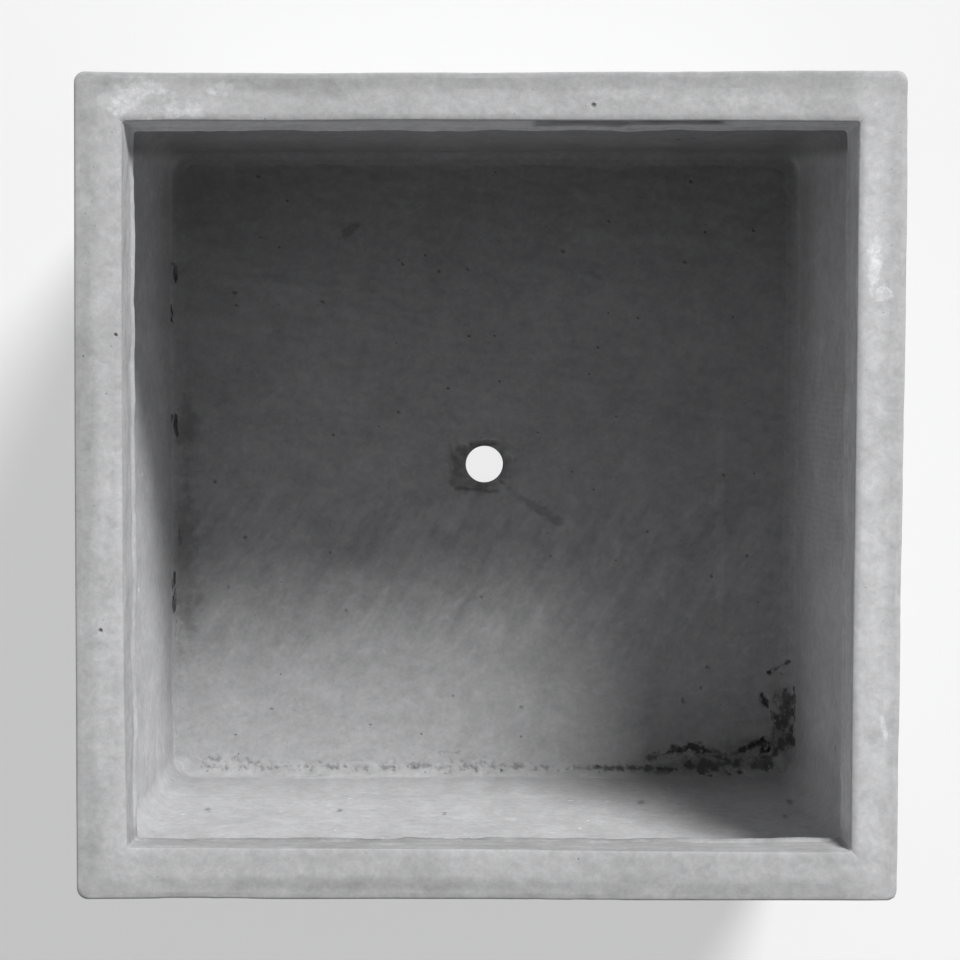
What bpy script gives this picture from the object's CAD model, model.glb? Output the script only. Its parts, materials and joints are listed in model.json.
import json
import math
import random
import bpy
import numpy as np
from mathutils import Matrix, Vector, noise

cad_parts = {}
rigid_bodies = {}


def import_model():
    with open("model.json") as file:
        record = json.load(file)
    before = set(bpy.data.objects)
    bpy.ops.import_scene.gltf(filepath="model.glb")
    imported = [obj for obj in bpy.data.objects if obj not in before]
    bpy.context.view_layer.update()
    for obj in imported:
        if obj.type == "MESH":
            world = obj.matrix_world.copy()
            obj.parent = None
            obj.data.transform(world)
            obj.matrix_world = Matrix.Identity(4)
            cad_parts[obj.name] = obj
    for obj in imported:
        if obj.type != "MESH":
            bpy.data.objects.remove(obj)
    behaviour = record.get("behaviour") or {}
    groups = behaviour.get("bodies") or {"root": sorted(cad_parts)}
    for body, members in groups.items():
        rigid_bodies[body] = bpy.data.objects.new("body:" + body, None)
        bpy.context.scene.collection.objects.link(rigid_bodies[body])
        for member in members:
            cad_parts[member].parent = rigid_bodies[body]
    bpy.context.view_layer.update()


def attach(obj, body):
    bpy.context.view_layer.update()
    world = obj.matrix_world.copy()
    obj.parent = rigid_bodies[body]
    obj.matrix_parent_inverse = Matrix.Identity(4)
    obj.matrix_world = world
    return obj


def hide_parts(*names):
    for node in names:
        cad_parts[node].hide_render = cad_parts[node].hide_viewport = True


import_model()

# Sizes of the planter, metres
HEIGHT = 0.400
RIM_HALF = 0.200
BASE_HALF = 0.175
LEAN_OUT = (RIM_HALF - BASE_HALF) / HEIGHT
SKIN = 0.003
SIDE = 0.008
FLOOR_TOP = 0.014
MOUTH_HALF = 0.177
LIP_HALF = 0.173
LIP_LEVEL = 0.368
HAUNCH_FOOT = 0.359
BORE = 0.010
EDGE_RADIUS = 0.005
INNER_RADIUS = 0.012
FACETS = 16  # of every rounded corner

# Camera: almost straight above, a little towards the back edge
MM_PER_PIXEL = 0.4795
CAMERA_PLACE = Vector((-0.0279, 0.1089, HEIGHT + 3.558))
CAMERA_TARGET = Vector((-0.0053, 0.0027, HEIGHT))
PIXELS_ACROSS = 960
FRAME_WIDTH = PIXELS_ACROSS * MM_PER_PIXEL / 1000
SENSOR_WIDTH = 36.0  # millimetres

# Light: one broad soft key from the back right, and an even pale sky
KEY_DIRECTION = Vector((0.393, 0.755, 1.0))
KEY_STRENGTH = 3.4
KEY_SPREAD = 14.5  # degrees
SKY_STRENGTH = 0.14
BACKDROP_STRENGTH = 0.91
GROUND_PALENESS = 0.54  # share of plain pale colour in the ground, to the camera alone
GROUND_PALENESS_IN_HOLE = 0.92

# Plain tone of each cement, before its stains
FACE_COAT_TONE = 0.47
BACKING_TONE = 0.61
BAND_TONE = 0.62
RIM_TONE = 0.49
FLOOR_TONE = 0.380
COVE_TONE = 0.385

# How far the hand-made rim strays from a true square, in millimetres,
# at nine stations from -200 to 200 along each side
STATIONS = [-200, -150, -100, -50, 0, 50, 100, 150, 200]
OUTER_STRAY = {
    "left": [0.9, 0.7, 0.6, 0.4, 0.2, 0.1, 0.1, 0.1, 0.1],
    "right": [-4.7, -4.3, -3.5, -3.0, -2.2, -1.4, -0.6, -0.2, -0.1],
    "front": [1.0, 1.4, 1.0, 1.1, 1.0, 0.4, 0.3, 0.3, 0.1],
    "back": [-1.4, -2.0, -2.2, -2.0, -1.9, -1.6, -1.4, -1.0, -0.9],
}
MOUTH_STRAY = {
    "left": [3.0, 1.8, 0.9, 0.4, 0.2, 0.0, 0.0, 0.0, 0.5],
    "right": [-3.9, -3.7, -3.4, -2.8, -2.1, -1.6, -1.3, -0.7, 0.3],
    "front": [3.1, 3.1, 2.7, 2.5, 2.2, 1.3, 0.9, 0.5, 1.0],
    "back": [-2.9, -1.8, -2.2, -1.6, -1.8, -2.1, -2.0, -2.4, -3.0],
}
LIP_STRAY = {
    "left": [2.5, 2.3, 2.0, 1.8, 1.6, 1.4, 1.2, 1.0, 0.8],
    "right": [-4.8, -3.7, -3.4, -3.1, -2.6, -1.8, -1.4, -1.7, -0.8],
    "front": [1.7, 1.7, 1.7, 1.7, 1.7, 1.6, 1.5, 1.4, 1.3],
    "back": [-2.9, -2.9, -2.8, -2.8, -2.8, -2.7, -2.7, -2.6, -2.6],
}

# Air pits left in the cement: x, y and radius in millimetres
FLOOR_PITS = [
    (-134, 93, 1.9), (-133, 86, 1.3), (-87, 88, 1.3), (-44, 108, 1.1), (107, 109, 1.4), (82, 79, 1.0),
    (8, 45, 1.0), (-145, -9, 1.3), (-129, -39, 1.5), (-138, -66, 1.2), (123, -60, 1.5), (88, -36, 1.0),
    (142, -49, 1.1), (121, -109, 1.7), (108, -127, 2.0), (-115, -132, 1.3), (-17, -125, 1.0), (20, -131, 1.4),
    (20, -147, 1.0), (36, -49, 1.3), (-110, 117, 1.0), (118, 125, 0.9), (-121, 155, 1.5),
]
RIM_PITS = [(49, 184, 1.3), (-180, 73, 1.0), (-188, -71, 1.1)]

# Voids where the mortar was not pressed in: from x, y to x, y and half the width, in millimetres
CORNER_VOIDS = [
    (60, -163, 104, -164, 2.4), (90, -158, 114, -152, 2.8), (112, -152, 134, -160, 3.2),
    (112, -162, 157, -161, 5.6), (152, -160, 163, -148, 7.0), (161, -152, 165, -126, 5.8),
    (150, -124, 160, -140, 2.4), (154, -112, 165, -106, 1.4), (134, -158, 150, -150, 2.4),
]
FRONT_VOIDS = [
    (-152, -163, 66, -163, 2.3), (-152, -159, -122, -161, 2.2), (-52, -162, -26, -162, 2.6),
    (-16, -160, 2, -161, 3.0), (-24, -156, -14, -156, 1.4),
]
LEFT_VOIDS = [
    (-167, 108, -165, 100, 1.8), (-168, 86, -168, 78, 1.0), (-167, 26, -165, 16, 1.6),
    (-164, -30, -164, -42, 0.8), (-167, -58, -167, -78, 1.5), (-166, -84, -166, -92, 0.9),
]
# The recess round the drain hole, broken out wider on its left
DRAIN_RECESS = [
    (-13.5, 8.5, -13.0, -8.5, 5.0), (-12, -10.5, 6, -12, 3.2), (10, -8, 12.5, 3, 2.6), (-6, 12, 6, 12, 2.0),
]


# ---------------------------------------------------------------- modelling
def half_at(level, inset):
    """Half the width at a height, set in from the outer face."""
    return BASE_HALF + LEAN_OUT * level - inset


def corners_of(mesh):
    places = np.empty(len(mesh.vertices) * 3)
    mesh.vertices.foreach_get("co", places)
    return places.reshape(-1, 3)


def normals_of(mesh):
    normals = np.empty(len(mesh.vertices) * 3)
    mesh.vertices.foreach_get("normal", normals)
    return normals.reshape(-1, 3)


def reach(places):
    """How far a place is from the axis, measured square."""
    return np.abs(places[:, :2]).max(1)


def work_on(piece):
    if bpy.context.mode != "OBJECT":
        bpy.ops.object.mode_set(mode="OBJECT")
    bpy.ops.object.select_all(action="DESELECT")
    piece.select_set(True)
    bpy.context.view_layer.objects.active = piece


def choose_edges(piece, rule):
    """Selects the edges whose two ends pass the rule, in edit mode."""
    work_on(piece)
    bpy.context.tool_settings.mesh_select_mode = (False, True, False)
    mesh = piece.data
    ends = np.empty(len(mesh.edges) * 2, np.int32)
    mesh.edges.foreach_get("vertices", ends)
    ends = ends.reshape(-1, 2)
    places = corners_of(mesh)
    chosen = rule(places[ends[:, 0]], places[ends[:, 1]])
    corners = np.zeros(len(mesh.vertices), bool)
    corners[ends[chosen].ravel()] = True
    mesh.vertices.foreach_set("select", corners)
    mesh.edges.foreach_set("select", chosen)
    mesh.polygons.foreach_set("select", np.zeros(len(mesh.polygons), bool))
    bpy.ops.object.mode_set(mode="EDIT")


def choose_faces(piece, rule):
    """Selects the faces whose centre and normal pass the rule, in edit mode."""
    work_on(piece)
    bpy.context.tool_settings.mesh_select_mode = (False, False, True)
    mesh = piece.data
    centres = np.empty(len(mesh.polygons) * 3)
    mesh.polygons.foreach_get("center", centres)
    normals = np.empty(len(mesh.polygons) * 3)
    mesh.polygons.foreach_get("normal", normals)
    mesh.vertices.foreach_set("select", np.zeros(len(mesh.vertices), bool))
    mesh.edges.foreach_set("select", np.zeros(len(mesh.edges), bool))
    mesh.polygons.foreach_set("select", rule(centres.reshape(-1, 3), normals.reshape(-1, 3)))
    bpy.ops.object.mode_set(mode="EDIT")


def add_outline(half, radius, level):
    """A level square outline with rounded corners."""
    bpy.ops.mesh.primitive_plane_add(size=2 * half, location=(0, 0, level))
    if bpy.context.mode == "OBJECT":
        bpy.ops.object.transform_apply(location=True, rotation=False, scale=False)
        bpy.ops.object.mode_set(mode="EDIT")
        bpy.ops.mesh.select_all(action="SELECT")
    bpy.ops.mesh.bevel(affect="VERTICES", offset=radius, segments=FACETS)
    bpy.ops.mesh.select_linked()
    bpy.ops.mesh.delete(type="ONLY_FACE")


def on_outline(places, outline):
    half, radius, level = outline
    past = np.abs(places[:, :2]) - (half - radius)
    out = np.where((past > 0).all(1), np.hypot(past[:, 0], past[:, 1]), past.max(1))
    return (np.abs(places[:, 2] - level) < 1e-5) & (np.abs(out - radius) < 5e-5)


def at_level(places, level):
    return np.abs(places[:, 2] - level) < 1e-5


def in_bore(places):
    return np.hypot(places[:, 0], places[:, 1]) < BORE + 1e-5


def bridge(piece, one, other, cuts=0):
    choose_edges(piece, lambda a, b: (on_outline(a, one) & on_outline(b, one))
                 | (on_outline(a, other) & on_outline(b, other)))
    bpy.ops.mesh.bridge_edge_loops(number_cuts=cuts, interpolation="LINEAR")


def loft(name, outlines, cuts):
    """Skins the square outlines in turn; cuts says how finely each step is divided."""
    bpy.ops.object.select_all(action="DESELECT")
    add_outline(*outlines[0])
    piece = bpy.context.object
    piece.name = piece.data.name = name
    for below, above, count in zip(outlines, outlines[1:], cuts):
        half, radius, level = above
        lift = 0.010 if level == below[2] else 0.0
        add_outline(half, radius, level + lift)
        bridge(piece, below, (half, radius, level + lift), count)
        if lift:
            choose_edges(piece, lambda a, b: np.maximum(a[:, 2], b[:, 2]) > level + 1e-6)
            bpy.ops.transform.resize(value=(1, 1, 0), center_override=(0, 0, level))
    return piece


def soften(piece, outline, width, steps):
    """Rounds the edge that follows an outline."""
    choose_edges(piece, lambda a, b: on_outline(a, outline) & on_outline(b, outline))
    bpy.ops.mesh.bevel(offset=width, segments=steps, affect="EDGES")


def cut_lengthwise(piece, passes):
    """Divides the long edges that run along the four sides."""
    for least, cuts in passes:
        def along_side(a, b):
            middle, run = (a + b) / 2, np.abs(b - a)
            along = np.where(np.abs(middle[:, 0]) > np.abs(middle[:, 1]), run[:, 1], run[:, 0])
            length = np.linalg.norm(run, axis=1)
            return (length > least) & (along > 0.95 * length)
        choose_edges(piece, along_side)
        bpy.ops.mesh.subdivide(number_cuts=cuts)


def face_outwards(piece):
    if bpy.context.mode == "OBJECT":
        work_on(piece)
        bpy.ops.object.mode_set(mode="EDIT")
    bpy.ops.mesh.select_all(action="SELECT")
    bpy.ops.mesh.normals_make_consistent(inside=False)
    bpy.ops.object.mode_set(mode="OBJECT")


def refine_runs(piece, runs, spread, cuts, level):
    """Splits the faces along runs of voids."""
    wide = [(x0, y0, x1, y1, half + spread) for x0, y0, x1, y1, half in runs]
    choose_faces(piece, lambda c, n: (torn(c, wide, 1.0, 0.0) > 0.02) & (np.abs(c[:, 2] - level) < 1e-4))
    bpy.ops.mesh.subdivide(number_cuts=cuts)
    bpy.ops.object.mode_set(mode="OBJECT")


def refine(piece, spots, spread, cuts, level=None):
    """Splits the faces round each spot, so that a small pit keeps its shape."""
    spots = np.array(spots, float)

    def near(centres, normals):
        close = np.zeros(len(centres), bool)
        for spot in spots:
            gap = np.linalg.norm(centres[:, :len(spot) - 1] - spot[:-1], axis=1)
            close |= gap < spot[-1] + spread
        if level is not None:
            close &= np.abs(centres[:, 2] - level) < 1e-4
        return close

    choose_faces(piece, near)
    bpy.ops.mesh.subdivide(number_cuts=cuts)
    bpy.ops.object.mode_set(mode="OBJECT")


def in_metres(spots):
    return [tuple(number / 1000 for number in spot) for spot in spots]


def scatter_pits(seed, count, lowest, highest, spread, margin, inset, sizes):
    """Air pits on the four sides: x, y, height and radius, the same ones each time."""
    dice = random.Random(seed)
    pits = []
    for side in range(4):
        for _ in range(count):
            level = dice.uniform(lowest, highest)
            along, out = dice.uniform(-spread, spread) * half_at(level, margin), half_at(level, inset)
            x, y = ((out, along), (along, out), (-out, along), (along, -out))[side]
            pits.append((x, y, level, dice.choice(sizes)))
    return pits


def dish(places, spots, power=1.0):
    """Weight of round hollows: one in the middle of a spot, nothing at its edge."""
    weight = np.zeros(len(places))
    for spot in np.array(spots, float):
        gap = np.linalg.norm(places[:, :len(spot) - 1] - spot[:-1], axis=1) / spot[-1]
        weight = np.maximum(weight, np.clip(1 - gap ** 2, 0, 1) ** power)
    return weight


def torn(places, runs, grain, wild, soft=0.45, squeeze=(1, 1, 1)):
    """Weight of voids with a torn outline, along runs from x, y to x, y with half a width.
    Grain is the size of the tears, wild how deep they go, and soft how far the edge slopes."""
    x, y = places[:, 0], places[:, 1]
    inside = np.full(len(places), -9.0)
    for x0, y0, x1, y1, half in np.array(runs, float) / 1000:
        length_squared = (x1 - x0) ** 2 + (y1 - y0) ** 2
        along = np.clip(((x - x0) * (x1 - x0) + (y - y0) * (y1 - y0)) / length_squared, 0, 1)
        gap = np.hypot(x - x0 - along * (x1 - x0), y - y0 - along * (y1 - y0))
        inside = np.maximum(inside, 1 - gap / half)
    for number in np.nonzero(inside > -1.2)[0]:
        inside[number] += wild * noise.fractal(Vector(places[number] * squeeze) / grain, 0.8, 2.1, 5)
    return ramp(inside, 0.0, soft)


def corner_voids(places):
    return torn(places, CORNER_VOIDS, grain=0.0042, wild=0.82, soft=0.95)


def front_voids(places):
    return torn(places, FRONT_VOIDS, grain=0.0028, wild=1.5, soft=1.6)


def left_voids(places):
    return torn(places, LEFT_VOIDS, grain=0.0022, wild=1.5, soft=1.5, squeeze=(1, 0.22, 1))


def ramp(values, low, high):
    """Smooth step from nothing at low to one at high."""
    share = np.clip((values - low) / (high - low), 0, 1)
    return share * share * (3 - 2 * share)


def clouds(size, depth=2):
    texture = bpy.data.textures.new("clouds", "CLOUDS")
    texture.noise_basis = "IMPROVED_PERLIN"
    texture.noise_scale = size
    texture.noise_depth = depth
    return texture


def relief(piece, depth, texture=None, weight=None, direction="NORMAL", middle=0.5, centre=None,
           stretch=(1, 1, 1), turn=0):
    """Raises and sinks the surface, by a texture or evenly, where the weight says."""
    work_on(piece)
    rise = piece.modifiers.new("relief", "DISPLACE")
    rise.strength = depth
    rise.direction = direction
    rise.mid_level = middle if texture else 0.0
    guide = None
    if texture:
        rise.texture = texture
    if centre is not None:
        bpy.ops.object.empty_add(location=centre)
        guide = bpy.context.object
        guide.scale = stretch
        guide.rotation_euler = (0, 0, math.radians(turn))
        rise.texture_coords = "OBJECT"
        rise.texture_coords_object = guide
        bpy.context.view_layer.update()
        work_on(piece)
    if weight is not None:
        group = piece.vertex_groups.new(name="relief")
        level = np.rint(np.clip(weight, 0, 1) * 100).astype(int)
        for step in range(1, 101):
            members = np.nonzero(level == step)[0]
            if len(members):
                group.add(members.tolist(), step / 100, "REPLACE")
        rise.vertex_group = group.name
    bpy.ops.object.modifier_apply(modifier=rise.name)
    if weight is not None:
        piece.vertex_groups.clear()
    if guide:
        bpy.data.objects.remove(guide)


def keep_hollows(piece, before, full, dirt=0.0):
    """Remembers how far each point sank, for the dirt in the finish."""
    sunk = np.maximum(np.linalg.norm(corners_of(piece.data) - before, axis=1) / full, dirt)
    marks = piece.data.attributes.get("sunk") or piece.data.attributes.new("sunk", "FLOAT", "POINT")
    old = np.empty(len(piece.data.vertices), np.float32)
    marks.data.foreach_get("value", old)
    marks.data.foreach_set("value", np.maximum(old, np.clip(sunk, 0, 1)).astype(np.float32))


# Waves and tooth of the rim's top, shared by the three layers that meet there
TOP_WAVES = clouds(0.030)
TOP_TOOTH = clouds(0.0045, 3)


def weather_top(piece):
    """The same level waves on every layer of the rim's top, so that they stay flush."""
    lift = ramp(corners_of(piece.data)[:, 2], 0.392, 0.3985)
    relief(piece, 0.0012, TOP_WAVES, lift, "Z", 1.0)
    relief(piece, 0.00045, TOP_TOOTH, lift, "Z", 1.0)


def add_stray_cage():
    """A cage that carries the rim's stray lines; below the lip nothing changes any more."""
    bpy.ops.object.add(type="LATTICE", location=(0, 0, (LIP_LEVEL + HEIGHT) / 2))
    cage = bpy.context.object
    cage.scale = (2 * RIM_HALF, 2 * RIM_HALF, HEIGHT - LIP_LEVEL)
    grid = cage.data
    grid.points_u = grid.points_v = 17
    grid.points_w = 2
    grid.interpolation_type_u = grid.interpolation_type_v = grid.interpolation_type_w = "KEY_LINEAR"
    for number, point in enumerate(grid.points):
        u, v, w = number % 17, number // 17 % 17, number // 289
        inner = MOUTH_STRAY if w else LIP_STRAY
        moves = []
        for place, other, low, high in ((u, v, "left", "right"), (v, u, "front", "back")):
            station = -200 + 25 * other
            stray = [np.interp(station, STATIONS, table[side])
                     for table in (OUTER_STRAY, inner) for side in (low, high)]
            moves.append(np.interp(place, [0, 1, 15, 16], [stray[0], stray[2], stray[3], stray[1]]) / 400)
        x, y, z = point.co
        point.co_deform = (x + moves[0], y + moves[1], z)
    return cage


def settle(piece):
    work_on(piece)
    lean = piece.modifiers.new("stray", "LATTICE")
    lean.object = stray_cage
    bpy.ops.object.modifier_apply(modifier=lean.name)
    bpy.ops.object.shade_smooth_by_angle(angle=math.radians(45))


# ---------------------------------------------------------------- pieces
def make_face_coat():
    under = (BASE_HALF - 0.006, EDGE_RADIUS, 0)
    foot = (BASE_HALF, EDGE_RADIUS, 0)
    top = (RIM_HALF, EDGE_RADIUS, HEIGHT)
    seam = (RIM_HALF - SKIN, INNER_RADIUS * 1.025, HEIGHT)
    pan = (half_at(SKIN, SKIN), INNER_RADIUS * 1.025, SKIN)
    piece = loft("face_coat_cement", [under, foot, top, seam, pan], [0, 110, 0, 0])
    soften(piece, top, 0.002, 4)
    soften(piece, foot, 0.0015, 3)
    cut_lengthwise(piece, [(0.1, 10), (0.025, 9)])
    for outline in (under, pan):
        bpy.ops.mesh.primitive_circle_add(vertices=96, radius=BORE, location=(0, 0, outline[2]))
        choose_edges(piece, lambda a, b: at_level(a, outline[2]) & at_level(b, outline[2])
                     & ((on_outline(a, outline) & on_outline(b, outline)) | (in_bore(a) & in_bore(b))))
        bpy.ops.mesh.fill()
    choose_edges(piece, lambda a, b: in_bore(a) & in_bore(b))
    bpy.ops.mesh.bridge_edge_loops()
    face_outwards(piece)
    pits = scatter_pits(seed=11, count=13, lowest=0.02, highest=0.385, spread=0.95, margin=0.006,
                        inset=0, sizes=(0.0009, 0.0012, 0.0012, 0.0018, 0.0024))
    refine(piece, pits, 0.0018, 6)
    places = corners_of(piece.data)
    outside = (reach(places) > half_at(places[:, 2], 0.0012)) * 1.0
    below_rim = outside * ramp(-places[:, 2], -0.396, -0.376)
    relief(piece, 0.0011, clouds(0.055), below_rim, middle=1.0)
    relief(piece, 0.00022, clouds(0.006, 3), below_rim, middle=1.0)
    before = corners_of(piece.data)
    relief(piece, -0.0016, None, dish(before, pits, 0.7) * outside)
    arris = ramp(before[:, 2], 0.3965, 0.3985) * outside + ramp(-before[:, 2], -0.0035, -0.001) * outside
    relief(piece, -0.0014, clouds(0.011, 2), arris * ramp(edge_wander(before), 0.55, 0.8), middle=0.35)
    keep_hollows(piece, before, 0.0014)
    weather_top(piece)
    settle(piece)
    return piece


def edge_wander(places):
    """Slow irregular rise and fall along the edges, between nothing and one."""
    x, y, z = places.T * 1000
    along_x = np.sin(x * 0.071 + 1.3 * np.sin(y * 0.043))
    along_y = np.sin(y * 0.083 + 1.7 * np.sin(x * 0.037) + z * 0.01)
    return 0.5 + (along_x + along_y) / 4


def make_backing():
    """The four sides of backing are laid as one sleeve, then parted at the mitres."""
    foot = (half_at(FLOOR_TOP, SIDE), INNER_RADIUS, FLOOR_TOP)
    top = (RIM_HALF - SIDE, INNER_RADIUS, HEIGHT)
    seam = (RIM_HALF - SKIN, INNER_RADIUS * 1.025, HEIGHT)
    bed = (half_at(FLOOR_TOP - 0.0005, SKIN), INNER_RADIUS * 1.025, FLOOR_TOP - 0.0005)
    sleeve = loft("backing", [foot, top, seam, bed], [215, 3, 0])
    bridge(sleeve, bed, foot)
    cut_lengthwise(sleeve, [(0.1, 12), (0.02, 13)])
    face_outwards(sleeve)
    pits = scatter_pits(seed=5, count=16, lowest=0.03, highest=0.26, spread=0.93, margin=SIDE + 0.004,
                        inset=SIDE, sizes=(0.0009, 0.0011, 0.0014, 0.0018))
    refine(sleeve, pits, 0.0012, 4)
    places, normals = corners_of(sleeve.data), normals_of(sleeve.data)
    inward = (places[:, :2] * normals[:, :2]).sum(1) < -0.02
    wall = inward * (1 - ramp(places[:, 2], 0.350, 0.372)) * (0.25 + 0.75 * ramp(places[:, 2], 0.016, 0.060))
    relief(sleeve, 0.0030, clouds(0.075), wall)
    relief(sleeve, 0.0012, clouds(0.020, 3), wall)
    relief(sleeve, 0.00035, clouds(0.005, 3), wall)
    before = corners_of(sleeve.data)
    relief(sleeve, -0.0017, None, dish(before, pits, 0.7) * wall)
    keep_hollows(sleeve, before, 0.0012)
    weather_top(sleeve)
    sides = {}
    quarters = {
        "right": lambda c, n: c[:, 0] > np.abs(c[:, 1]),
        "back": lambda c, n: c[:, 1] > np.abs(c[:, 0]),
        "left": lambda c, n: -c[:, 0] > np.abs(c[:, 1]),
    }
    for name, quarter in quarters.items():
        choose_faces(sleeve, quarter)
        bpy.ops.mesh.separate(type="SELECTED")
        bpy.ops.object.mode_set(mode="OBJECT")
        sides[name] = [o for o in bpy.context.selected_objects if o != sleeve][0]
    sides["front"] = sleeve
    for name, piece in sides.items():
        piece.name = piece.data.name = f"backing_{name}_cement"
        work_on(piece)
        bpy.ops.object.mode_set(mode="EDIT")
        bpy.ops.mesh.select_all(action="SELECT")
        bpy.ops.mesh.fill_holes(sides=0)
        face_outwards(piece)
        settle(piece)
    return sides


def make_rim_ring():
    """Section: level top, leaning face with a slight hollow, rounded lip, haunch back to the wall."""
    outer = (RIM_HALF - SIDE, INNER_RADIUS, HEIGHT)
    brow = (MOUTH_HALF + 0.0034, 0.0040, HEIGHT)
    mouth = (MOUTH_HALF, 0.0014, HEIGHT)
    below = (MOUTH_HALF - 0.0002, 0.0014, HEIGHT - 0.0016)
    hollow = (LIP_HALF + 0.0019, 0.0018, LIP_LEVEL + 0.0052)
    over = (LIP_HALF + 0.0007, 0.0018, LIP_LEVEL + 0.0023)
    lip = (LIP_HALF, 0.0018, LIP_LEVEL)
    inward = (LIP_HALF + 0.0028, 0.0028, LIP_LEVEL - 0.0015)
    foot = (half_at(HAUNCH_FOOT, SIDE) + 0.0012, INNER_RADIUS, HAUNCH_FOOT)
    piece = loft("rim_ring_cement", [outer, brow, mouth, below, hollow, over, lip, inward, foot],
                 [8, 3, 0, 17, 3, 0, 0, 10])
    bridge(piece, foot, outer, 3)
    soften(piece, mouth, 0.0005, 2)
    soften(piece, lip, 0.0012, 4)
    cut_lengthwise(piece, [(0.1, 16), (0.015, 15)])
    face_outwards(piece)
    dent = [(0.186, -0.122, 0.0055)]
    pits = in_metres(RIM_PITS)
    refine(piece, pits, 0.0008, 3, HEIGHT)
    places = corners_of(piece.data)
    level = places[:, 2]
    face = (reach(places) < 0.1882) * ramp(-level, -0.3985, -0.3955)
    edge = ramp(-level, -0.380, -0.370) * (reach(places) < 0.186)
    relief(piece, 0.0022, clouds(0.034, 2), face)
    relief(piece, 0.0007, clouds(0.009, 3), face)
    relief(piece, 0.0017, clouds(0.019, 2), edge)
    x, y, level = corners_of(piece.data).T
    past_mouth = np.maximum(abs(x), abs(y)) - MOUTH_HALF
    worn = np.clip(1 - past_mouth / 0.0036, 0, 1) ** 2 * ramp(level, 0.3975, 0.3990)
    wear = np.select([x > abs(y), y > abs(x), -x > abs(y)], [1.0, 0.6, 0.6], 0.3)
    relief(piece, -0.0016, None, worn * wear, "Z")
    before = corners_of(piece.data)
    x, y, level = before.T
    groove = ramp(x, 0.019, 0.024) * ramp(-x, -0.116, -0.110) * (y > 0.16)
    groove *= ramp(level - np.where(x < 0.067, 0.374, 0.382), 0, 0.004) * ramp(-level, -0.3985, -0.3970)
    relief(piece, 0.0020, clouds(0.016, 2), groove, "Y", 0.0)
    top = ramp(level, 0.3985, 0.3995)
    relief(piece, -0.0014, None, dish(before, pits, 0.7) * top, "Z")
    relief(piece, -0.0012, clouds(0.004), dish(before, dent) * top, "Z", 0.0)
    nicks = ramp(-level, -0.3725, -0.3695) * (y < -0.165) * ramp(x, -0.078, -0.06) * ramp(-x, -0.012, 0.002)
    relief(piece, -0.0030, clouds(0.007, 2), nicks * (reach(before) < 0.180), middle=0.42)
    keep_hollows(piece, before, 0.0016)
    weather_top(piece)
    settle(piece)
    return piece


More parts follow.
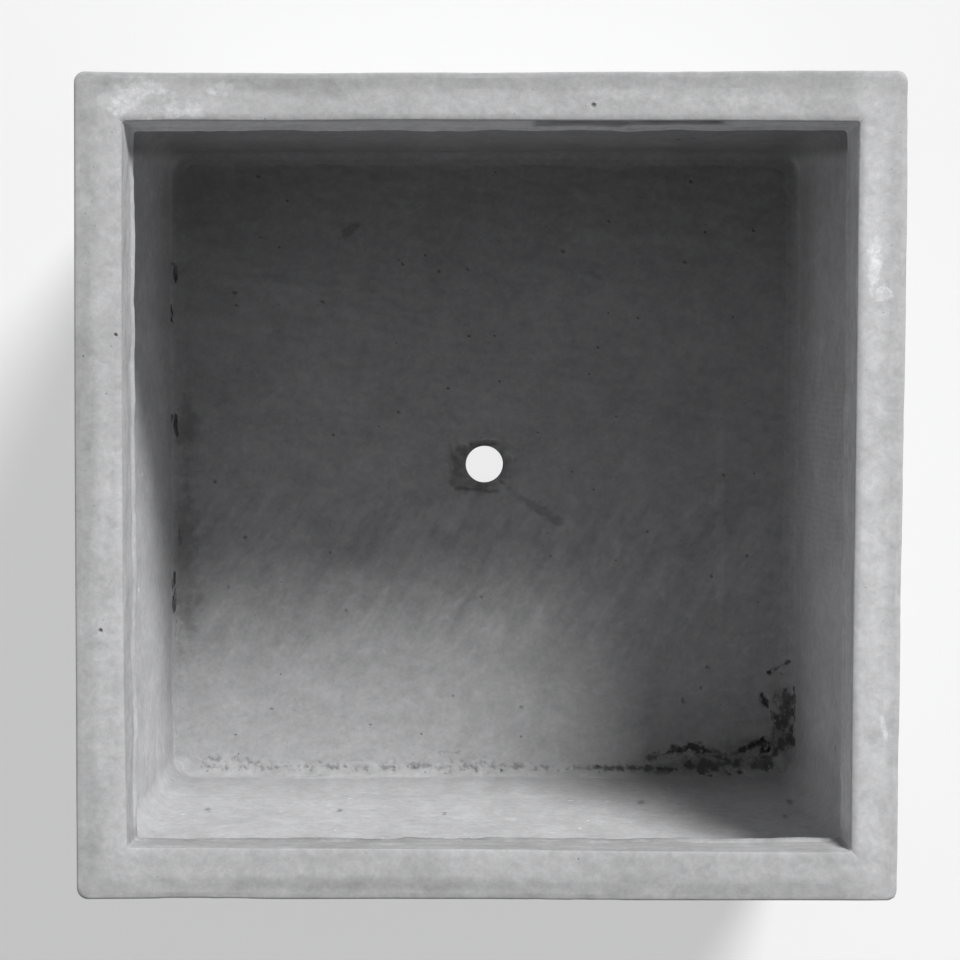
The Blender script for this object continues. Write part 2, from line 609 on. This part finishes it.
def make_floor_slab():
    half = half_at(FLOOR_TOP, SKIN)
    rows, rows_round_hole = 246, 14
    bpy.ops.object.select_all(action="DESELECT")
    bpy.ops.mesh.primitive_grid_add(x_subdivisions=rows, y_subdivisions=rows, size=2 * half,
                                    location=(0, 0, FLOOR_TOP))
    bpy.ops.object.transform_apply(location=True, rotation=False, scale=False)
    piece = bpy.context.object
    piece.name = piece.data.name = "floor_slab_cement"
    pitch = 2 * half / rows
    opening = rows_round_hole * pitch
    choose_faces(piece, lambda c, n: reach(c) < opening)
    bpy.ops.mesh.delete(type="FACE")
    bpy.ops.mesh.primitive_circle_add(vertices=112, radius=BORE, location=(0, 0, FLOOR_TOP))

    def round_opening(a, b):
        return (np.abs(reach(a) - opening) < 1e-5) & (np.abs(reach(b) - opening) < 1e-5)

    def bore(a, b):
        return in_bore(a) & in_bore(b)

    def rim_of_slab(a, b):
        return (reach(a) > half - 1e-5) & (reach(b) > half - 1e-5) & (a[:, 2] > SKIN + 0.001)

    choose_edges(piece, lambda a, b: round_opening(a, b) | bore(a, b))
    bpy.ops.mesh.bridge_edge_loops(number_cuts=17, interpolation="LINEAR")
    for edge_of in (bore, rim_of_slab):
        choose_edges(piece, lambda a, b: edge_of(a, b) & (np.abs(a[:, 2] - b[:, 2]) < 1e-6))
        for _ in range(6):
            bpy.ops.mesh.extrude_region_move(TRANSFORM_OT_translate={"value": (0, 0, (SKIN - FLOOR_TOP) / 6)})
    choose_edges(piece, lambda a, b: at_level(a, SKIN) & at_level(b, SKIN))
    bpy.ops.mesh.fill()
    face_outwards(piece)

    pits = in_metres(FLOOR_PITS)
    dice = random.Random(3)
    pits += [(dice.uniform(-0.155, 0.155), dice.uniform(-0.15, 0.155), dice.choice((0.0009, 0.001, 0.0013)))
             for _ in range(22)]
    pits = [(x, y, size * 0.72) for x, y, size in pits]
    refine(piece, pits, 0.0007, 3, FLOOR_TOP)
    refine_runs(piece, CORNER_VOIDS + FRONT_VOIDS, 1.5, 2, FLOOR_TOP)
    places = corners_of(piece.data)
    top = at_level(places, FLOOR_TOP) * 1.0
    open_floor = top * ramp(-reach(places), -0.170, -0.166)
    away = open_floor * ramp(np.linalg.norm(places[:, :2], axis=1), 0.0105, 0.016)
    upper = ramp(places[:, 1], -0.02, 0.04)
    relief(piece, 0.0024, clouds(0.070), away, "Z")
    relief(piece, 0.0007, clouds(0.018, 3), away, "Z")
    relief(piece, 0.0013, clouds(1.0, 3), away * (1 - upper), "Z", centre=(0, 0, 0),
           stretch=(0.024, 0.0060, 0.02), turn=54)
    relief(piece, 0.0010, clouds(1.0, 3), away * upper, "Z", centre=(0.003, 0, 0),
           stretch=(0.030, 0.0070, 0.02), turn=-9)
    relief(piece, 0.0004, clouds(0.005, 3), away, "Z")
    before = corners_of(piece.data)
    relief(piece, -0.0011, None, dish(before, pits, 0.7) * top, "Z")
    void = corner_voids(before) * open_floor
    relief(piece, -0.0018, None, void, "Z")
    relief(piece, -0.0062, clouds(0.0036, 3), void, "Z", 0.36)
    relief(piece, -0.0024, clouds(0.0030, 3), front_voids(before) * open_floor, "Z", 0.2)
    recess = torn(before, DRAIN_RECESS, grain=0.0070, wild=0.45) * top
    relief(piece, -0.0008, None, recess, "Z")
    relief(piece, -0.0016, clouds(0.0030, 3), recess, "Z", 0.45)
    keep_hollows(piece, before, 0.0022)
    settle(piece)
    return piece


def add_grain(place, size, dice):
    bpy.ops.mesh.primitive_ico_sphere_add(subdivisions=1, radius=size, location=place,
                                          scale=[dice.uniform(0.65, 1.15) for _ in range(3)],
                                          rotation=[dice.uniform(0, 3) for _ in range(3)])
    grain = bpy.context.object
    bpy.ops.object.transform_apply(location=True, rotation=True, scale=True)
    relief(grain, size * 0.8, clouds(size * 1.3))
    bpy.ops.object.shade_smooth_by_angle(angle=math.radians(60))
    return grain


def join_grains(piece, grains):
    work_on(piece)
    for grain in grains:
        grain.select_set(True)
    bpy.ops.object.join()


def make_floor_cove():
    """Mortar bead: its hollow face runs out thin over the floor and up the sides."""
    wall = half_at(0.018, SIDE)
    section = [
        (wall - 0.0128, 0.0020, 0.0124), (wall - 0.0108, 0.0024, 0.0136), (wall - 0.0072, 0.0048, 0.0141),
        (wall - 0.0042, 0.0078, 0.0151), (wall - 0.0020, 0.0100, 0.0169), (wall - 0.0006, 0.0114, 0.0194),
        (wall + 0.0002, 0.0122, 0.0224), (wall + 0.0013, 0.0133, 0.0244), (wall + 0.0032, 0.0152, 0.0242),
        (wall + 0.0030, 0.0150, 0.0125),
    ]
    piece = loft("floor_cove_cement", section, [3, 5, 4, 4, 4, 4, 2, 0, 0])
    bridge(piece, section[-1], section[0])
    cut_lengthwise(piece, [(0.1, 19), (0.01, 21)])
    face_outwards(piece)
    places = corners_of(piece.data)
    worked = (reach(places) < wall + 0.0008) * ramp(places[:, 2], 0.0126, 0.0136)
    relief(piece, 0.0024, clouds(0.070), worked, "Z")
    relief(piece, 0.0013, clouds(0.016, 2), worked)
    relief(piece, 0.0008, clouds(0.0035, 3), worked * ramp(reach(places), wall - 0.012, wall - 0.006))
    before = corners_of(piece.data)
    room = np.clip((before[:, 2] - 0.0127) / 0.008, 0, 1) * worked
    void = corner_voids(before) * worked
    crumbled = front_voids(before) * worked
    scraped = left_voids(before) * worked
    relief(piece, -0.0070, clouds(0.0040, 3), void * room, "Z", 0.0)
    relief(piece, -0.0060, clouds(0.0030, 3), np.maximum(crumbled, scraped) * room, "Z", 0.0)
    keep_hollows(piece, before, 0.0016, np.maximum(void * 0.95, np.maximum(crumbled * 0.6, scraped * 0.7)))
    settle(piece)
    dice = random.Random(8)
    grains = [add_grain((0.154, -0.137, 0.0146), 0.0013, dice),
              add_grain((0.163, -0.151, 0.0160), 0.0015, dice)]
    for _ in range(54):
        x0, y0, x1, y1, half = dice.choice(CORNER_VOIDS)
        along, spread = dice.random(), half * 1.1
        x = x0 + (x1 - x0) * along + dice.uniform(-spread, spread)
        y = y0 + (y1 - y0) * along + dice.uniform(-spread, spread)
        grains.append(add_grain((min(x, 165) / 1000, max(y, -165) / 1000, 0.0130 + dice.uniform(0, 0.001)),
                                dice.uniform(0.0005, 0.0011), dice))
    join_grains(piece, grains)
    return piece


# ---------------------------------------------------------------- finishes
class Finish:
    """Nodes of one cement finish, read from the planter's own coordinates in metres."""

    def __init__(self, name):
        self.material = bpy.data.materials.new(name)
        self.material.use_nodes = True
        self.tree = self.material.node_tree
        self.shader = self.tree.nodes["Principled BSDF"]
        self.place = self.tree.nodes.new("ShaderNodeTexCoord").outputs["Object"]

    def node(self, kind, settings=None, **inputs):
        made = self.tree.nodes.new("ShaderNode" + kind)
        for key, value in (settings or {}).items():
            setattr(made, key, value)
        for key, value in inputs.items():
            self.plug(value, made.inputs[key.replace("_", " ")])
        return made

    def plug(self, value, socket):
        if isinstance(value, bpy.types.NodeSocket):
            self.tree.links.new(value, socket)
        else:
            socket.default_value = value

    def maths(self, operation, *values):
        made = self.node("Math", {"operation": operation})
        for value, socket in zip(values, made.inputs):
            self.plug(value, socket)
        return made.outputs[0]

    def times(self, *values):
        total = values[0]
        for value in values[1:]:
            total = self.maths("MULTIPLY", total, value)
        return total

    def either(self, *values):
        total = values[0]
        for value in values[1:]:
            total = self.maths("MAXIMUM", total, value)
        return total

    def between(self, value, low, high, start=0.0, end=1.0):
        made = self.node("MapRange", {"interpolation_type": "SMOOTHSTEP"})
        sockets = ("Value", "From Min", "From Max", "To Min", "To Max")
        for key, number in zip(sockets, (value, low, high, start, end)):
            self.plug(number, made.inputs[key])
        return made.outputs["Result"]

    def noise(self, size, detail=3.0, roughness=0.55, place=None, distortion=0.0, stretch=None, turn=0.0):
        source = place or self.place
        if stretch:
            source = self.node("Mapping", {"vector_type": "TEXTURE"}, Vector=source, Scale=stretch,
                               Rotation=(0, 0, math.radians(turn))).outputs[0]
        return self.node("TexNoise", None, Vector=source, Scale=1 / size, Detail=detail, Roughness=roughness,
                         Distortion=distortion).outputs["Fac"]

    def warped(self, size, amount):
        """Coordinates pushed about, so that strokes read through them curl."""
        push = self.node("TexNoise", None, Vector=self.place, Scale=1 / size, Detail=1.0).outputs["Color"]
        centred = self.node("VectorMath", {"operation": "SUBTRACT"})
        self.plug(push, centred.inputs[0])
        centred.inputs[1].default_value = (0.5, 0.5, 0.5)
        scaled = self.node("VectorMath", {"operation": "SCALE"})
        self.plug(centred.outputs[0], scaled.inputs[0])
        scaled.inputs["Scale"].default_value = amount
        moved = self.node("VectorMath", {"operation": "ADD"})
        self.plug(self.place, moved.inputs[0])
        self.plug(scaled.outputs[0], moved.inputs[1])
        return moved.outputs[0]

    def flecks(self, size, share, radius, seed):
        """Small round flecks: size is their spacing, share how many of the cells have one."""
        shift = (seed, seed * 0.7, seed * 1.3)
        shifted = self.node("Mapping", None, Vector=self.place, Location=shift).outputs[0]
        cell = self.node("TexVoronoi", None, Vector=shifted, Scale=1 / size)
        picked = self.node("SeparateColor", None, Color=cell.outputs["Color"]).outputs[0]
        there = self.maths("LESS_THAN", picked, share)
        return self.times(self.between(cell.outputs["Distance"], radius * 0.5, radius, 1.0, 0.0), there)

    def patch(self, x, y, width, depth, turn=0.0, rough=0.5, size=0.006, level=None, height=0.05):
        """A ragged soft patch on the planter, placed and sized in millimetres."""
        centre = (x / 1000, y / 1000, HEIGHT if level is None else level / 1000)
        reach_of_patch = (width / 2000, depth / 2000, height)
        inside = self.node("Mapping", {"vector_type": "TEXTURE"}, Vector=self.place, Location=centre,
                           Rotation=(0, 0, math.radians(turn)), Scale=reach_of_patch).outputs[0]
        far = self.node("VectorMath", {"operation": "LENGTH"})
        self.plug(inside, far.inputs[0])
        ragged = self.maths("MULTIPLY_ADD", self.noise(size, 3.0, 0.6), rough * 2, -rough)
        return self.between(self.maths("ADD", far.outputs["Value"], ragged), 0.35, 1.05, 1.0, 0.0)

    def scuff(self, x, y, width, depth, turn=0.0, level=None):
        """A worn, powdery patch that thins out in specks."""
        heart = self.patch(x, y, width, depth, turn, 1.0, 0.005, level)
        specks = self.between(self.noise(0.0028, 4.0, 0.7), 0.36, 0.60)
        return self.times(heart, self.maths("MULTIPLY_ADD", specks, 0.65, 0.35))

    def axes(self):
        """The planter's own x, y and z."""
        return self.node("SeparateXYZ", None, Vector=self.place).outputs

    def only_where(self, mask, pattern):
        """The pattern where the mask is, and its middle value elsewhere."""
        return self.maths("MULTIPLY_ADD", self.maths("SUBTRACT", pattern, 0.5), mask, 0.5)

    def shaded(self, tone, pattern, amount):
        """Tone made darker and lighter by a pattern about its middle."""
        return self.times(tone, self.maths("MULTIPLY_ADD", pattern, 2 * amount, 1 - amount))

    def painted(self, tone, mask, factor):
        """Tone multiplied by a factor where the mask is."""
        return self.times(tone, self.maths("MULTIPLY_ADD", mask, factor - 1, 1.0))


def rim_tone(finish, tone):
    """Gives the rim's level top its own tone, with a darker strip along the outer edge, scuffs and stains.
    Returns the tone and where the top is."""
    x, y, z = finish.axes()
    on_top = finish.between(z, 0.3955, 0.3985)
    below = finish.times(tone, finish.maths("SUBTRACT", 1.0, on_top))
    tone = finish.maths("ADD", below, finish.times(on_top, RIM_TONE))
    span = finish.maths("SMOOTH_MAX", finish.maths("ABSOLUTE", x), finish.maths("ABSOLUTE", y), 0.016)
    ragged, wander = 0.0045, finish.noise(0.022, 3.0, 0.6)
    span = finish.maths("MULTIPLY_ADD", wander, 2 * ragged, finish.maths("SUBTRACT", span, ragged))
    strip = finish.between(span, 0.1855, 0.1935)
    right = finish.between(x, 0.165, 0.185)
    front = finish.between(y, -0.165, -0.180)
    tone = finish.painted(tone, finish.times(on_top, strip), 0.86)
    tone = finish.painted(tone, finish.times(on_top, right), 1.20)
    tone = finish.painted(tone, finish.times(on_top, front), 0.93)
    tone = finish.painted(tone, finish.times(on_top, finish.between(y, 0.165, 0.180)), 0.955)
    pale = [finish.scuff(-166, 190, 34, 11, -10), finish.scuff(-149, 179, 32, 10, 8),
            finish.scuff(-128, 190, 17, 8), finish.scuff(-176, 182, 16, 12), finish.scuff(184, 106, 8, 32),
            finish.scuff(188, 92, 11, 11), finish.scuff(189, -117, 4, 15, 12)]
    dusty = [finish.scuff(60, 188, 60, 8), finish.scuff(130, 185, 50, 9),
             finish.patch(-158, 186, 80, 26, 0, 0.6, 0.012)]
    stains = [finish.patch(-84, 191, 74, 14, 0, 0.4, 0.012), finish.patch(-195, 10, 12, 190, 0, 0.4, 0.02),
              finish.patch(-190, -160, 16, 60, 0, 0.5, 0.02), finish.patch(-60, -191, 240, 9, 0, 0.5, 0.016)]
    tone = finish.painted(tone, finish.times(on_top, finish.either(*stains)), 0.87)
    tone = finish.painted(tone, finish.times(on_top, finish.either(*pale)), 1.38)
    tone = finish.painted(tone, finish.times(on_top, finish.either(*dusty)), 1.14)
    worn = finish.noise(0.0065, 4.0, 0.62, distortion=0.6)
    return finish.shaded(tone, finish.only_where(on_top, worn), 0.24), on_top


def fibre_cement(name, tone, strokes, mottle, pinholes, extra=None, sweep=(2.6, 0.8, 1.5), rise=1.0):
    """Hand-laid grey cement. Tone is its plain colour, and strokes, mottle and pinholes say how lively it is.
    Extra adds the marks of one piece. Sweep is the trowel strokes' length in each direction, and rise how
    much taller than wide the mottling is."""
    finish = Finish(name)
    shade = finish.maths("ADD", tone, 0.0)
    if extra:
        shade = extra(finish, shade)
    shade, on_top = rim_tone(finish, shade)
    inside = finish.maths("SUBTRACT", 1.0, on_top)
    slow = finish.noise(0.110, 3.0)
    middling = finish.noise(0.024, 5.0, 0.62, distortion=0.5, stretch=(1.0, 1.0, rise))
    curled = finish.warped(0.055, 0.05)
    stroke = finish.noise(0.0075, 5.0, 0.65, place=curled, stretch=sweep, turn=18)
    fine = finish.noise(0.0026, 5.0, 0.68)
    shade = finish.shaded(shade, slow, 0.10 * mottle)
    shade = finish.shaded(shade, middling, 0.22 * mottle)
    shade = finish.shaded(shade, finish.only_where(inside, stroke), 0.42 * strokes)
    grainy = finish.noise(0.0060, 4.0, 0.66, distortion=0.4)
    shade = finish.shaded(shade, finish.only_where(inside, grainy), 0.22 * mottle)
    shade = finish.shaded(shade, fine, 0.20)
    holes = finish.flecks(0.0125, pinholes, 0.045, 0.31)
    tiny = finish.flecks(0.0042, pinholes * 0.6, 0.075, 0.77)
    salt = finish.flecks(0.0055, 0.25, 0.085, 0.13)
    shade = finish.painted(shade, finish.either(holes, tiny), 0.45)
    shade = finish.painted(shade, salt, 1.10)
    sunk = finish.node("Attribute", {"attribute_name": "sunk"}).outputs["Fac"]
    shade = finish.painted(shade, finish.between(sunk, 0.15, 1.0), 0.38)
    bluish = finish.times(shade, 1.012)
    colour = finish.node("CombineColor", None, Red=shade, Green=shade, Blue=bluish).outputs[0]
    finish.plug(colour, finish.shader.inputs["Base Color"])
    finish.plug(finish.maths("MULTIPLY_ADD", middling, 0.16, 0.76), finish.shader.inputs["Roughness"])
    finish.shader.inputs["Specular IOR Level"].default_value = 0.35
    height = finish.maths("MULTIPLY_ADD", stroke, 0.9 * strokes, finish.times(fine, 0.35))
    height = finish.maths("SUBTRACT", height, finish.times(finish.either(holes, tiny), 1.2))
    bump = finish.node("Bump", None, Strength=0.55, Distance=0.0007, Height=height)
    finish.plug(bump.outputs[0], finish.shader.inputs["Normal"])
    return finish.material


def floor_marks(finish, shade):
    """The floor is darker towards the back and palest before the front, with diagonal trowel strokes
    between, smears, and damp round the drain and along the crumbled edges."""
    y = finish.axes()[1]
    shade = finish.painted(shade, finish.between(y, 0.06, 0.175), 0.72)
    shade = finish.painted(shade, finish.between(y, -0.030, -0.090), 1.14)
    shade = finish.painted(shade, finish.between(y, -0.112, -0.150), 0.93)
    strokes = finish.noise(0.010, 4.0, 0.6, distortion=0.3, stretch=(3.4, 0.8, 1.0), turn=58)
    swept = finish.times(finish.between(y, -0.118, -0.088), finish.between(y, -0.002, -0.030))
    shade = finish.shaded(shade, finish.only_where(swept, strokes), 0.34)
    level = FLOOR_TOP * 1000
    dark = [finish.patch(*spot, level) for spot in (
        (-72, 124, 16, 9, 35, 1.1, 0.005), (-3, -1, 40, 34, 0, 0.5, 0.006))]
    faint = [finish.patch(*spot, level) for spot in (
        (28, -24, 46, 7, -33, 1.0, 0.006), (118, -160, 104, 20, 6, 0.9, 0.006),
        (160, -142, 20, 54, 0, 0.9, 0.006), (140, -154, 60, 20, 10, 0.9, 0.006),
        (-160, -55, 20, 120, 0, 0.9, 0.007), (-158, 20, 14, 40, 0, 0.9, 0.007))]
    pale = [finish.patch(*spot, level) for spot in (
        (125, -40, 7, 150, 0, 1.0, 0.010), (26, -35, 14, 10, 0, 1.0, 0.004))]
    shade = finish.painted(shade, finish.either(*dark), 0.66)
    shade = finish.painted(shade, finish.either(*pale), 1.10)
    return finish.painted(shade, finish.either(*faint), 0.72)


def cove_marks(finish, shade):
    """The bead has the floor's tone at its toe and the side's tone at its head."""
    z = finish.axes()[2]
    toe, head = floor_marks(finish, shade), wall_marks(finish, finish.maths("ADD", BACKING_TONE, 0.0))
    risen = finish.between(z, 0.0148, 0.0215)
    return finish.maths("MULTIPLY_ADD", risen, finish.maths("SUBTRACT", head, toe), toe)


def wall_marks(finish, shade):
    """Walls a little darker towards the floor, the back wall darkest and the left one palest.
    The right wall has chatter ripples across it, and the front wall a few chips."""
    x, y, z = finish.axes()
    shade = finish.painted(shade, finish.between(z, 0.13, 0.02), 0.80)
    wandering = finish.maths("MULTIPLY_ADD", finish.noise(0.05, 2.0), 0.006, y)
    ripples = finish.maths("SINE", finish.times(wandering, 2000.0))
    ripples = finish.times(finish.between(ripples, -0.2, 1.0), finish.between(x, 0.158, 0.164))
    ripples = finish.times(ripples, finish.between(y, 0.075, 0.03), finish.between(y, -0.085, -0.03))
    shade = finish.painted(shade, ripples, 0.94)
    under_rim = finish.between(z, 0.39, 0.36)
    front = finish.times(finish.between(y, -0.158, -0.164), under_rim)
    leftmost = finish.between(finish.maths("ADD", x, finish.maths("ABSOLUTE", y)), 0.004, -0.004)
    shade = finish.painted(shade, finish.times(finish.between(x, -0.158, -0.164), leftmost, under_rim), 1.12)
    shade = finish.painted(shade, finish.times(front, finish.between(x, -0.06, -0.165)), 0.86)
    shade = finish.painted(shade, front, 1.06)
    chips = [finish.patch(x_mm, y_mm, width, 14, 0, 0.9, 0.003, level, height)
             for x_mm, y_mm, width, level, height in (
                 (-144, -172, 5, 146, 0.010), (-76, -173, 4, 150, 0.008), (80, -171, 6, 117, 0.010),
                 (-22, -174, 3, 162, 0.008), (157, -171, 5, 117, 0.014), (152, -174, 4, 170, 0.010))]
    shade = finish.painted(shade, finish.either(*chips), 0.55)
    return finish.painted(shade, finish.times(finish.between(y, 0.158, 0.166), under_rim), 0.53)


def band_marks(finish, shade):
    """The band's inner face: streaked along, paler at the back and right, dirty and chipped at the front,
    with a dark groove under the edge of its back side."""
    x, y, z = finish.axes()
    front = finish.between(y, -0.160, -0.170)
    streaks = finish.noise(0.0045, 4.0, 0.6, stretch=(9.0, 9.0, 0.9))
    shade = finish.shaded(shade, streaks, 0.22)
    shade = finish.painted(shade, front, 0.77)
    shade = finish.painted(shade, finish.times(front, finish.between(z, 0.3735, 0.3705)), 0.86)
    back, right = finish.between(y, 0.160, 0.168), finish.between(x, 0.160, 0.168)
    shade = finish.painted(shade, finish.either(right, back), 1.17)
    dirt = finish.times(front, finish.between(z, 0.379, 0.371), finish.between(x, 0.095, 0.070))
    dirt = finish.times(dirt, finish.between(finish.noise(0.016, 4.0, 0.6), 0.34, 0.56))
    shade = finish.painted(shade, dirt, 0.80)
    groove = finish.times(back, finish.between(x, 0.018, 0.023), finish.between(x, 0.118, 0.108))
    ragged = finish.maths("MULTIPLY_ADD", finish.noise(0.012, 3.0, 0.6), 0.006, z)
    above = finish.maths("SUBTRACT", ragged, finish.between(x, 0.060, 0.075, 0.375, 0.383))
    return finish.painted(shade, finish.times(groove, finish.between(above, 0.0, 0.004)), 0.58)


# ---------------------------------------------------------------- set
def add_camera():
    sight = CAMERA_TARGET - CAMERA_PLACE
    nod = math.asin(sight.y / sight.length)
    sway = math.atan2(-sight.x, -sight.z)
    bpy.ops.object.camera_add(location=CAMERA_PLACE, rotation=(nod, sway, 0))
    camera = bpy.context.object
    camera.data.sensor_width = SENSOR_WIDTH
    camera.data.lens = SENSOR_WIDTH * sight.length / FRAME_WIDTH
    camera.data.clip_start = 0.05
    camera.data.clip_end = 50.0
    bpy.context.scene.camera = camera


def seen_directly(tree):
    """One for what the camera sees, straight or by a reflection; nothing for light on the planter."""
    rays = tree.nodes.new("ShaderNodeLightPath")
    seen = rays.outputs["Is Camera Ray"]
    for kind in ("Is Glossy Ray", "Is Transmission Ray"):
        either = tree.nodes.new("ShaderNodeMath")
        either.operation = "MAXIMUM"
        tree.links.new(seen, either.inputs[0])
        tree.links.new(rays.outputs[kind], either.inputs[1])
        seen = either.outputs[0]
    return seen


def add_light():
    """The key, the sky that fills the shadows, and the backdrop that only the camera sees."""
    turn = KEY_DIRECTION.to_track_quat("Z", "Y").to_euler()
    bpy.ops.object.light_add(type="SUN", location=KEY_DIRECTION * 2, rotation=turn)
    key = bpy.context.object
    key.data.energy = KEY_STRENGTH
    key.data.angle = math.radians(KEY_SPREAD)
    world = bpy.data.worlds.new("studio")
    bpy.context.scene.world = world
    world.use_nodes = True
    tree = world.node_tree
    sky = tree.nodes["Background"]
    sky.inputs["Color"].default_value = (0.97, 0.98, 1.0, 1)
    sky.inputs["Strength"].default_value = SKY_STRENGTH
    backdrop = tree.nodes.new("ShaderNodeBackground")
    backdrop.inputs["Color"].default_value = (1, 1, 1, 1)
    backdrop.inputs["Strength"].default_value = BACKDROP_STRENGTH
    choice = tree.nodes.new("ShaderNodeMixShader")
    tree.links.new(seen_directly(tree), choice.inputs[0])
    tree.links.new(sky.outputs[0], choice.inputs[1])
    tree.links.new(backdrop.outputs[0], choice.inputs[2])
    tree.links.new(choice.outputs[0], tree.nodes["World Output"].inputs["Surface"])


def add_ground():
    bpy.ops.mesh.primitive_plane_add(size=12, location=(0, 0, 0))
    ground = bpy.context.object
    ground.name = "ground"
    material = bpy.data.materials.new("pale ground")
    material.use_nodes = True
    tree = material.node_tree
    shader = tree.nodes["Principled BSDF"]
    shader.inputs["Base Color"].default_value = (0.9, 0.9, 0.9, 1)
    shader.inputs["Roughness"].default_value = 0.9
    pale = tree.nodes.new("ShaderNodeEmission")
    pale.inputs["Color"].default_value = (1, 1, 1, 1)
    pale.inputs["Strength"].default_value = 0.9
    share = tree.nodes.new("ShaderNodeMath")
    share.operation = "MULTIPLY"
    tree.links.new(seen_directly(tree), share.inputs[0])
    # The ground is palest where it shows through the drain hole
    place = tree.nodes.new("ShaderNodeTexCoord")
    far = tree.nodes.new("ShaderNodeVectorMath")
    far.operation = "LENGTH"
    tree.links.new(place.outputs["Object"], far.inputs[0])
    spot = tree.nodes.new("ShaderNodeMapRange")
    for key, number in (("From Min", 2 * BORE), ("From Max", 4 * BORE),
                        ("To Min", GROUND_PALENESS_IN_HOLE), ("To Max", GROUND_PALENESS)):
        spot.inputs[key].default_value = number
    tree.links.new(far.outputs["Value"], spot.inputs["Value"])
    tree.links.new(spot.outputs["Result"], share.inputs[1])
    choice = tree.nodes.new("ShaderNodeMixShader")
    tree.links.new(share.outputs[0], choice.inputs[0])
    tree.links.new(shader.outputs[0], choice.inputs[1])
    tree.links.new(pale.outputs[0], choice.inputs[2])
    tree.links.new(choice.outputs[0], tree.nodes["Material Output"].inputs["Surface"])
    ground.data.materials.append(material)


# ---------------------------------------------------------------- assembly
stray_cage = add_stray_cage()
face_coat_finish = fibre_cement("face coat cement", FACE_COAT_TONE, strokes=0.25, mottle=0.8, pinholes=0.35)
backing_finish = fibre_cement("backing cement", BACKING_TONE, strokes=0.35, mottle=1.0, pinholes=0.3,
                              extra=wall_marks, sweep=(1.1, 1.1, 9.0), rise=5.0)
rim_finish = fibre_cement("rim cement", BAND_TONE, strokes=0.3, mottle=0.95, pinholes=0.3, extra=band_marks)
floor_finish = fibre_cement("floor cement", FLOOR_TONE, strokes=0.38, mottle=0.95, pinholes=0.5,
                            extra=floor_marks)
cove_finish = fibre_cement("cove mortar", COVE_TONE, strokes=0.5, mottle=0.8, pinholes=0.5, extra=cove_marks)

pieces = [
    (make_face_coat(), "outer_face_coat", "face_coat", face_coat_finish),
    (make_rim_ring(), "rim_ring", "rim", rim_finish),
    (make_floor_slab(), "floor_slab", "floor", floor_finish),
    (make_floor_cove(), "floor_cove", "cove", cove_finish),
]
for side, piece in make_backing().items():
    pieces.append((piece, "backing_" + side, "backing", backing_finish))
bpy.data.objects.remove(stray_cage)

for piece, node, slot, finish in pieces:
    piece.data.materials.clear()
    piece.data.materials.append(finish)
    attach(piece, "root")
    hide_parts(node)
    print(piece.name, sum(len(face.vertices) - 2 for face in piece.data.polygons), "triangles")

add_camera()
add_light()
add_ground()
bpy.context.scene.view_settings.view_transform = "Standard"
